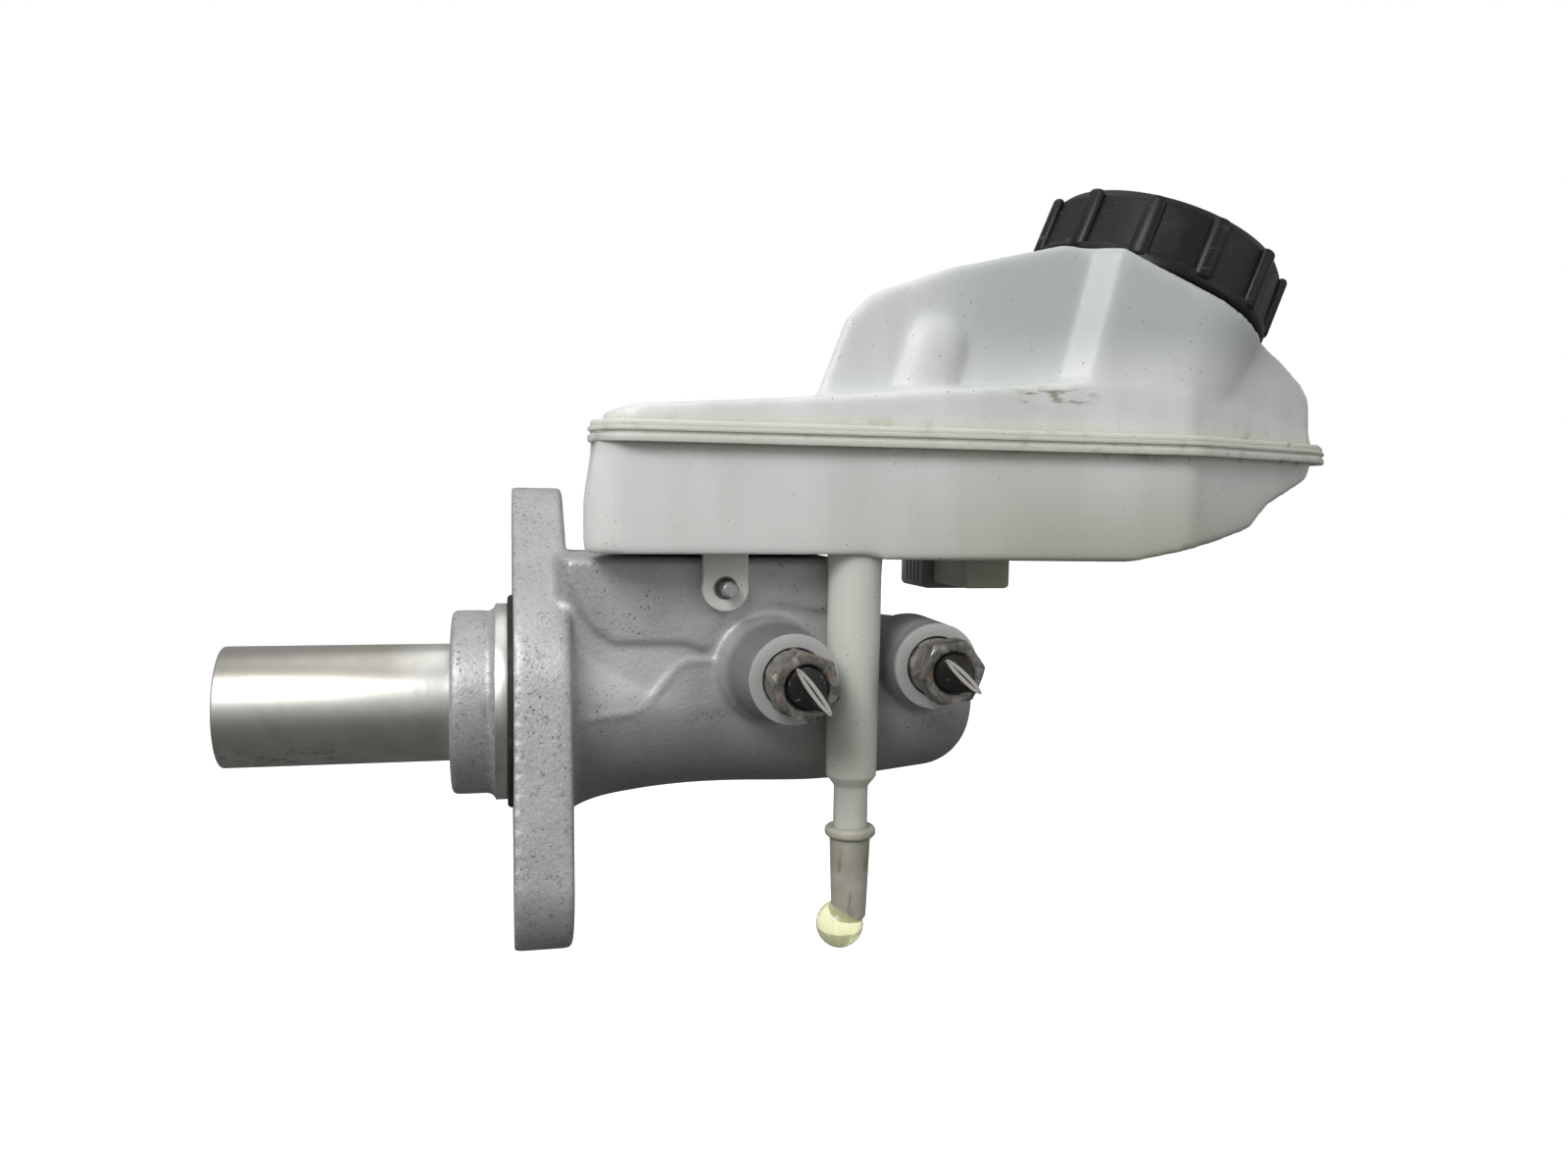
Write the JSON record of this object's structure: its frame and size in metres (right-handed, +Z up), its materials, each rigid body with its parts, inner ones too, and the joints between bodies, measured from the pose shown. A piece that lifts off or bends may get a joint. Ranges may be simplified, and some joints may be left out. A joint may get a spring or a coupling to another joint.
{
  "type": "brake master cylinder",
  "caption": "Tandem brake master cylinder: aluminium cylinder with two-ear flange and guide tube, side brake outlets, and a translucent two-shell fluid reservoir with tilted screw cap.",
  "frame": {"origin": "centre of the flange's mounting face, on the bore axis", "axes": "+X along the bore towards the closed front end, +Z up through the reservoir, +Y away from the side with the brake outlets"},
  "size_m": [0.2943, 0.1002, 0.1895],
  "materials": {
    "cast_aluminium": "sand-blasted die casting",
    "machined_aluminium": "turned, satin",
    "black_rubber": "moulded",
    "reservoir_plastic": "translucent, natural",
    "cap_plastic": "moulded black",
    "strainer_plastic": "moulded natural",
    "float_plastic": "foamed",
    "magnet_ferrite": "sintered",
    "sensor_plastic": "moulded grey",
    "sensor_brass": "stamped",
    "nut_steel": "tarnished plating",
    "pipe_coating": "black polymer coat over steel",
    "zinc_steel": "zinc plated",
    "spring_steel": "drawn wire",
    "piston_aluminium": "hard anodised",
    "blanking_plastic": "soft, greyish beige",
    "plug_plastic": "clear yellow, soft"
  },
  "bodies": {
    "cylinder": {"cylinder_body": "cast_aluminium", "guide_tube": "machined_aluminium", "booster_seal": "black_rubber", "rear_grommet": "black_rubber", "front_grommet": "black_rubber", "lower_shell": "reservoir_plastic", "upper_shell": "reservoir_plastic", "strainer": "strainer_plastic", "level_sensor": "sensor_plastic", "sensor_pins": "sensor_brass", "tube_nuts": "nut_steel", "pipe_stubs": "pipe_coating", "retaining_pin": "zinc_steel", "secondary_spring": "spring_steel", "rear_cup": "black_rubber", "separator_cup": "black_rubber", "feed_cups": "black_rubber", "stop_washer": "zinc_steel", "circlip": "spring_steel", "nozzle_cap": "blanking_plastic", "drip_plug": "plug_plastic"},
    "primary": {"primary_piston": "piston_aluminium", "cage_screw": "zinc_steel"},
    "secondary": {"secondary_piston": "piston_aluminium", "cage_hat": "zinc_steel", "primary_spring": "spring_steel"},
    "float": {"level_float": "float_plastic", "float_magnet": "magnet_ferrite"},
    "gasket": {"cap_gasket": "black_rubber"},
    "cap": {"filler_cap": "cap_plastic"}
  },
  "joints": [
    {"name": "secondary_stroke", "type": "slide", "parent": "cylinder", "child": "secondary", "axis": [1, 0, 0], "range_m": [0, 0.0135], "stiffness_N_per_m": 2500, "springref_m": -0.012, "deforming": ["secondary_spring"]},
    {"name": "primary_stroke", "type": "slide", "parent": "secondary", "child": "primary", "axis": [1, 0, 0], "range_m": [0, 0.0125], "stiffness_N_per_m": 4500, "springref_m": -0.012, "deforming": ["primary_spring"]},
    {"name": "float_rise", "type": "slide", "parent": "cylinder", "child": "float", "axis": [0, 0, 1], "range_m": [0, 0.008]},
    {"name": "cap_lift", "type": "slide", "parent": "cylinder", "child": "gasket", "axis": [0.3746, 0, 0.9272], "range_m": [0, 0.006]},
    {"name": "cap_unscrew", "type": "hinge", "parent": "gasket", "child": "cap", "pos_m": [0.1654, -0.004, 0.104], "axis": [0.3746, 0, 0.9272], "range_deg": [0, 540]}
  ],
  "couplings": [
    {"joint": "primary_stroke", "follows": "secondary_stroke", "ratio": 0.92592},
    {"joint": "cap_lift", "follows": "cap_unscrew", "m_per_rad": 0.0006365}
  ]
}
